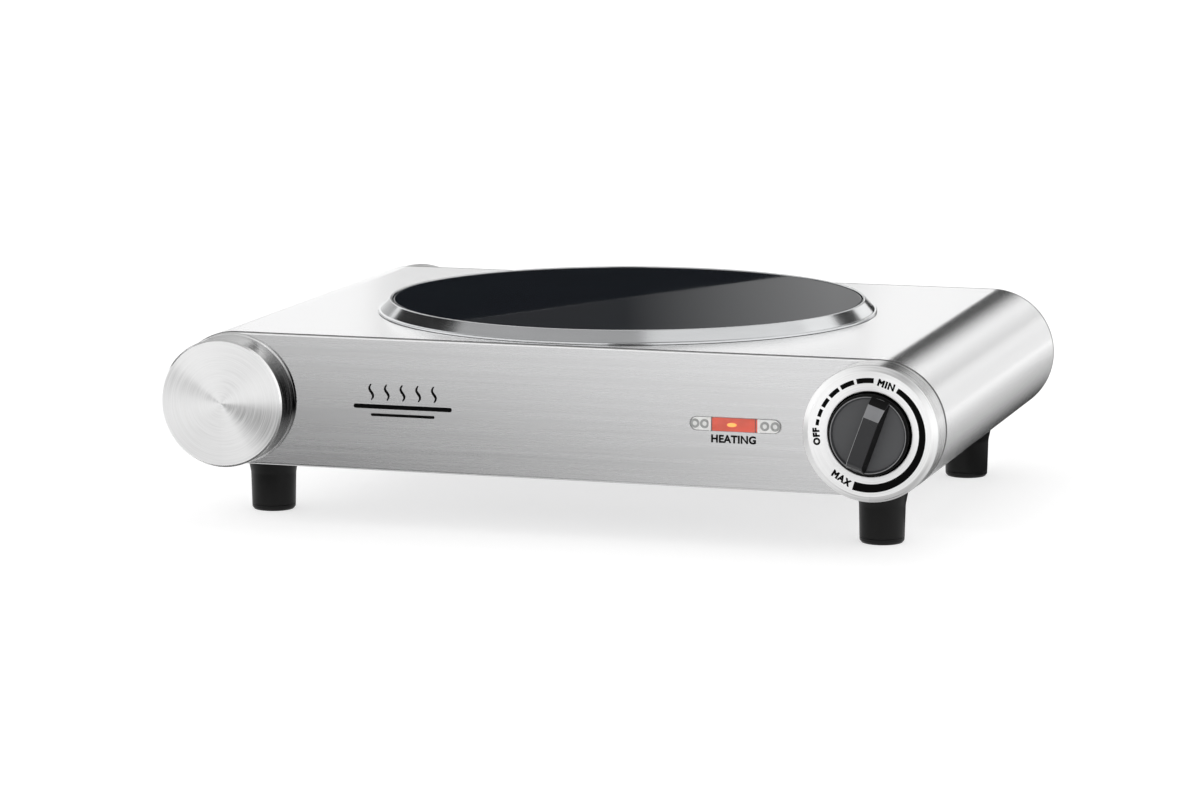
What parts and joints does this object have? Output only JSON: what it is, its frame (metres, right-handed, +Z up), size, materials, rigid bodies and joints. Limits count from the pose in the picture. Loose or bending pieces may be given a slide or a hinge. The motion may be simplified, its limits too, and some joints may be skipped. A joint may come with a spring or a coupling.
{
  "type": "hot plate burner",
  "caption": "Single electric hot plate: low steel casing with round sides, black glass disc in a raised trim ring, front dial knob, indicator lamp and stub feet.",
  "frame": {"origin": "on the table under the middle of the bounding box", "axes": "+X to the user's right along the longest side, +Y from the front panel with the knob to the rear, +Z up"},
  "size_m": [0.309, 0.248, 0.0796],
  "materials": {
    "casing_steel": "satin",
    "spun_steel": "satin",
    "trim_steel": "polished",
    "inner_steel": "satin",
    "screw_steel": "satin",
    "heater_alloy": "matte",
    "brass": "satin",
    "black_glass": "gloss",
    "clear_plastic": "gloss",
    "red_plastic": "gloss",
    "lamp_glass": "gloss",
    "black_gloss": "gloss",
    "black_matt": "matte",
    "foot_plastic": "satin",
    "phenolic": "satin",
    "white_nylon": "satin",
    "silicone": "matte",
    "insulation": "matte",
    "steatite": "satin",
    "live_sleeve": "satin",
    "neutral_sleeve": "satin",
    "earth_sleeve": "satin"
  },
  "bodies": {
    "base": {"body_shell": "casing_steel", "bottom_cover": "inner_steel", "front_panel": "casing_steel", "rear_panel": "casing_steel", "front_left_cap": "spun_steel", "rear_left_cap": "spun_steel", "front_left_cap_screw": "screw_steel", "rear_left_cap_screw": "screw_steel", "cord_cover": "casing_steel", "cord_gland": "black_matt", "gland_nut": "black_matt", "dial_bezel": "casing_steel", "regulator_bracket": "inner_steel", "regulator_body": "phenolic", "regulator_cover": "phenolic", "regulator_tab_line": "brass", "regulator_tab_load": "brass", "regulator_tab_lamp": "brass", "regulator_screw_upper": "screw_steel", "regulator_screw_lower": "screw_steel", "indicator_lens": "clear_plastic", "indicator_window": "red_plastic", "neon_lamp": "lamp_glass", "indicator_holder": "white_nylon", "trim_ring": "trim_steel", "glass_plate": "black_glass", "glass_gasket": "silicone", "heater_pan": "inner_steel", "heater_base": "insulation", "heater_wall": "insulation", "heating_ribbon": "heater_alloy", "limiter_rod": "screw_steel", "limiter_head": "steatite", "heater_bridge": "inner_steel", "heater_spring": "screw_steel", "bridge_screw_left": "screw_steel", "bridge_screw_right": "screw_steel", "terminal_block": "steatite", "earth_screw": "brass", "live_lead": "live_sleeve", "neutral_lead": "neutral_sleeve", "switched_lead": "live_sleeve", "earth_lead": "earth_sleeve", "lamp_live_lead": "live_sleeve", "lamp_neutral_lead": "neutral_sleeve", "foot_front_left": "foot_plastic", "foot_front_right": "foot_plastic", "foot_rear_left": "foot_plastic", "foot_rear_right": "foot_plastic", "foot_screw_front_left": "screw_steel", "foot_screw_front_right": "screw_steel", "foot_screw_rear_left": "screw_steel", "foot_screw_rear_right": "screw_steel", "cover_screw_front_left": "screw_steel", "cover_screw_front_right": "screw_steel", "cover_screw_rear_left": "screw_steel", "cover_screw_rear_right": "screw_steel"},
    "knob": {"knob": "black_gloss", "knob_spring_clip": "brass", "regulator_shaft": "screw_steel"}
  },
  "joints": [
    {"name": "knob_turn", "type": "hinge", "parent": "base", "child": "knob", "pos_m": [0.1285, -0.1115, 0.0484], "axis": [0, 1, 0], "range_deg": [-112, 192]}
  ]
}
